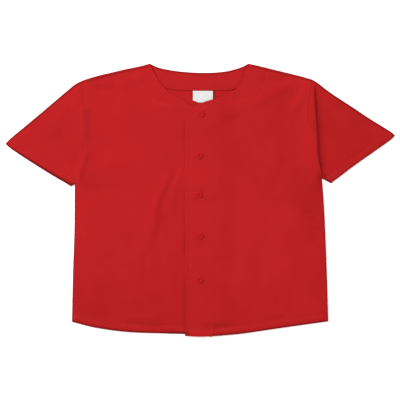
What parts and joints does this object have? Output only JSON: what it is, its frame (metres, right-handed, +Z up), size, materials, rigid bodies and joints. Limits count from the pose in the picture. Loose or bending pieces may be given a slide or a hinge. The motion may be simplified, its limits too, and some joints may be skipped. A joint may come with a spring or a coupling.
{
  "type": "baseball jersey",
  "caption": "Plain short-sleeved baseball jersey with a full button front, round collarless neck, back neck facing and bare label, laid flat with its front up",
  "frame": {"origin": "on the floor under the middle of the jersey's bounding box", "axes": "+X to the wearer's left sleeve, +Y from the hem to the neck, +Z up, out of the front"},
  "size_m": [0.779, 0.5462, 0.0094],
  "materials": {
    "cloth": "red cotton jersey knit, matt, with matching topstitching",
    "label": "white satin-woven label, bare",
    "buttons": "red moulded button with a low gloss"
  },
  "bodies": {
    "root": {"back_panel": "cloth", "front_right": "cloth", "front_left": "cloth", "placket_right": "cloth", "placket_left": "cloth", "sleeve_right": "cloth", "sleeve_left": "cloth", "back_neck_facing": "cloth", "neck_label": "label", "button_1": "buttons", "button_2": "buttons", "button_3": "buttons", "button_4": "buttons", "button_5": "buttons"}
  },
  "joints": []
}
